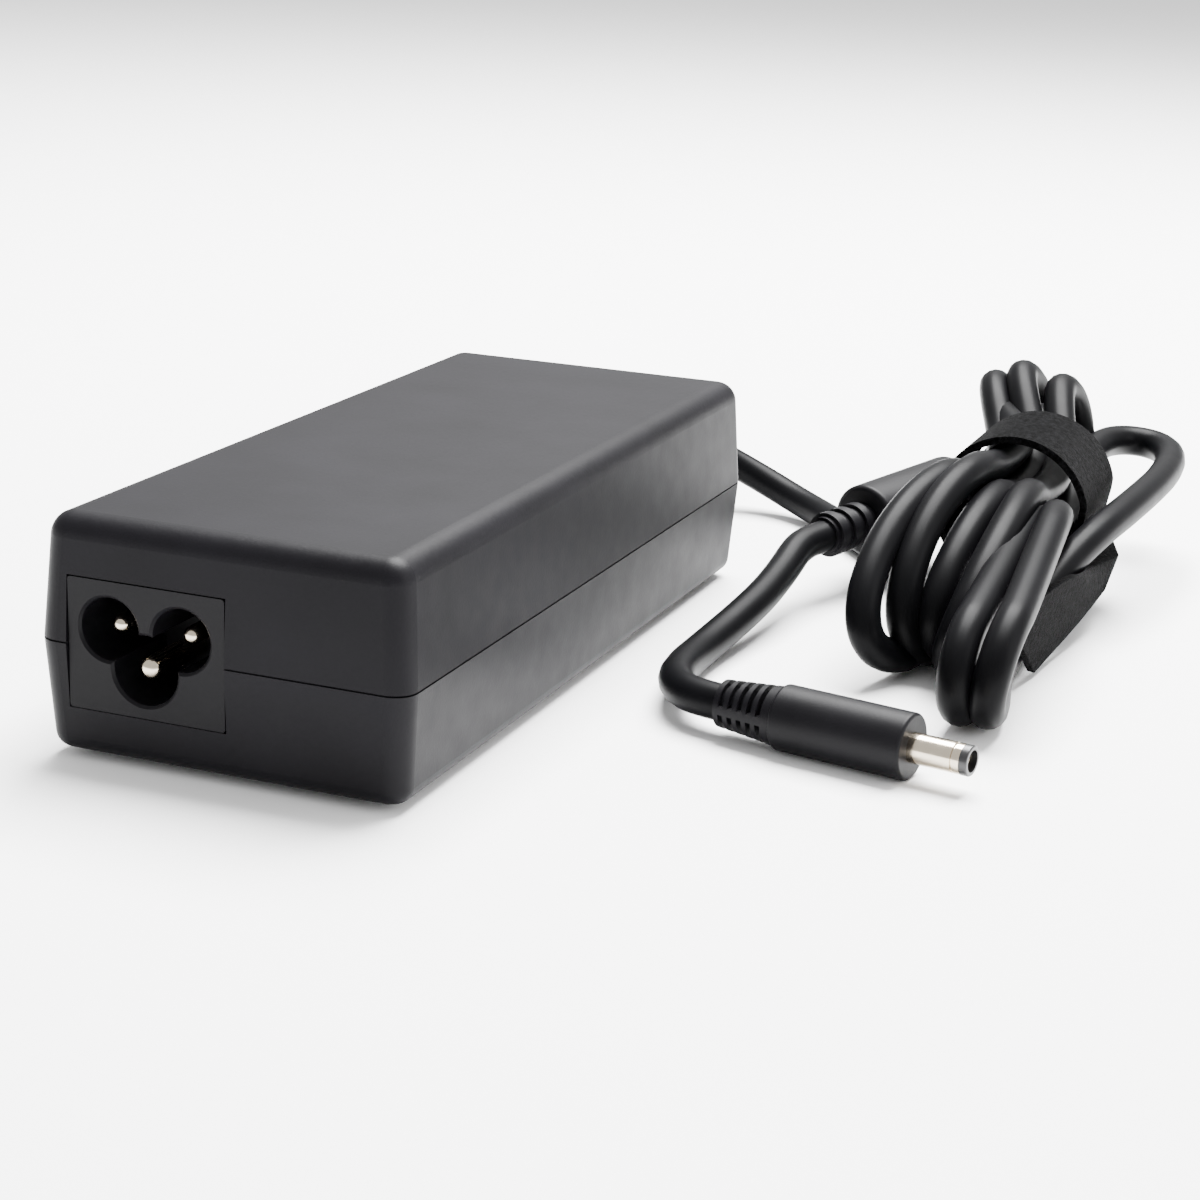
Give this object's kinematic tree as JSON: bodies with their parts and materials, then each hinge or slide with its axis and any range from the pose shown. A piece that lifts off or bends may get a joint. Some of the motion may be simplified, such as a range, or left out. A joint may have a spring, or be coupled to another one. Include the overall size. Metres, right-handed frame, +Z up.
{
  "type": "laptop power adapter",
  "caption": "Mains-to-low-voltage power adapter: a slim black brick with a round-pin inlet and a tied output cord ending in a ferrite bead and barrel plug.",
  "frame": {"origin": "on the resting surface, under the middle of the case", "axes": "+Y along the case from the mains inlet to the cord exit, +X across the case, +Z up"},
  "size_m": [0.114, 0.1742, 0.0315],
  "materials": {
    "case_plastic": "fine matte grain",
    "foot_rubber": "matte",
    "inlet_plastic": "fine matte grain",
    "contact_nickel": "bright nickel plate",
    "board_laminate": "bare laminate",
    "insulating_film": "thin film",
    "wire_insulation": "smooth",
    "component_black": "moulded",
    "component_blue": "dipped lacquer",
    "component_yellow": "smooth",
    "ferrite_ceramic": "dark sintered ceramic",
    "copper_winding": "enamelled wire",
    "capacitor_can": "shrink sleeve",
    "heatsink_aluminium": "bare sheet",
    "pad_silicone": "soft pad",
    "cord_jacket": "satin flexible jacket",
    "strap_fabric": "brushed hook-and-loop",
    "overmould": "fine matte",
    "tip_insulator": "smooth"
  },
  "bodies": {
    "root": {"lower_shell": "case_plastic", "upper_shell": "case_plastic", "rubber_feet": "foot_rubber", "inlet_housing": "inlet_plastic", "line_pin": "contact_nickel", "neutral_pin": "contact_nickel", "earth_pin": "contact_nickel", "circuit_board": "board_laminate", "insulation_sheet": "insulating_film", "line_wire": "wire_insulation", "neutral_wire": "wire_insulation", "earth_wire": "wire_insulation", "positive_wire": "wire_insulation", "return_wire": "wire_insulation", "fuse": "component_black", "varistor": "component_blue", "inrush_thermistor": "component_black", "input_y_capacitor": "component_blue", "x_capacitor": "component_yellow", "choke_base": "component_black", "choke_core": "ferrite_ceramic", "choke_windings": "copper_winding", "bridge_rectifier": "component_black", "bulk_capacitor": "capacitor_can", "primary_heatsink": "heatsink_aluminium", "switching_transistor": "component_black", "boost_core": "ferrite_ceramic", "boost_bobbin": "component_black", "boost_winding": "copper_winding", "transformer_core": "ferrite_ceramic", "transformer_bobbin": "component_black", "transformer_winding": "component_yellow", "optocoupler": "component_black", "bridging_capacitor": "component_blue", "control_chips": "component_black", "output_capacitors": "capacitor_can", "secondary_heatsink": "heatsink_aluminium", "output_rectifier": "component_black", "output_choke_core": "ferrite_ceramic", "output_choke_winding": "copper_winding", "heat_spreader": "heatsink_aluminium", "thermal_pad": "pad_silicone", "cord_gland": "cord_jacket", "exit_cord": "cord_jacket", "cord_hank": "cord_jacket", "cord_bow": "cord_jacket", "ferrite_lead": "cord_jacket", "plug_lead": "cord_jacket", "cable_strap": "strap_fabric", "ferrite_core": "ferrite_ceramic", "ferrite_cover": "overmould", "plug_relief": "overmould", "plug_body": "overmould", "plug_barrel": "contact_nickel", "plug_insulator": "tip_insulator", "plug_inner_sleeve": "contact_nickel", "plug_center_pin": "contact_nickel"}
  },
  "joints": []
}
